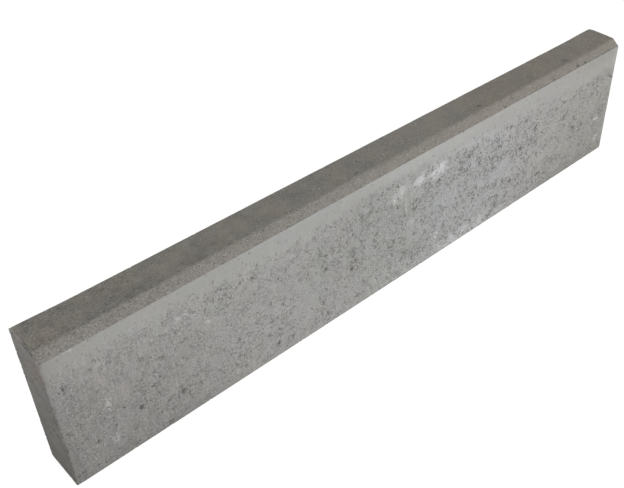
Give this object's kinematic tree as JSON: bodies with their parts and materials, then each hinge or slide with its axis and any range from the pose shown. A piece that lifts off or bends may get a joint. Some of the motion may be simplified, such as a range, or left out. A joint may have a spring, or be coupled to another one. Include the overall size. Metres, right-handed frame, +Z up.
{
  "type": "concrete kerb stone",
  "caption": "Straight concrete edging kerb: a slim rectangular block, plain flat ends, one chamfered long edge along the top of its face.",
  "frame": {"origin": "middle of the bed face, which is the underside as the kerb stands on edge", "axes": "+X along the kerb, -Y out of the chamfered front face, +Z up"},
  "size_m": [1, 0.057, 0.2],
  "materials": {
    "concrete": "matt, rough cast"
  },
  "bodies": {
    "root": {"kerb_stone": "concrete"}
  },
  "joints": []
}
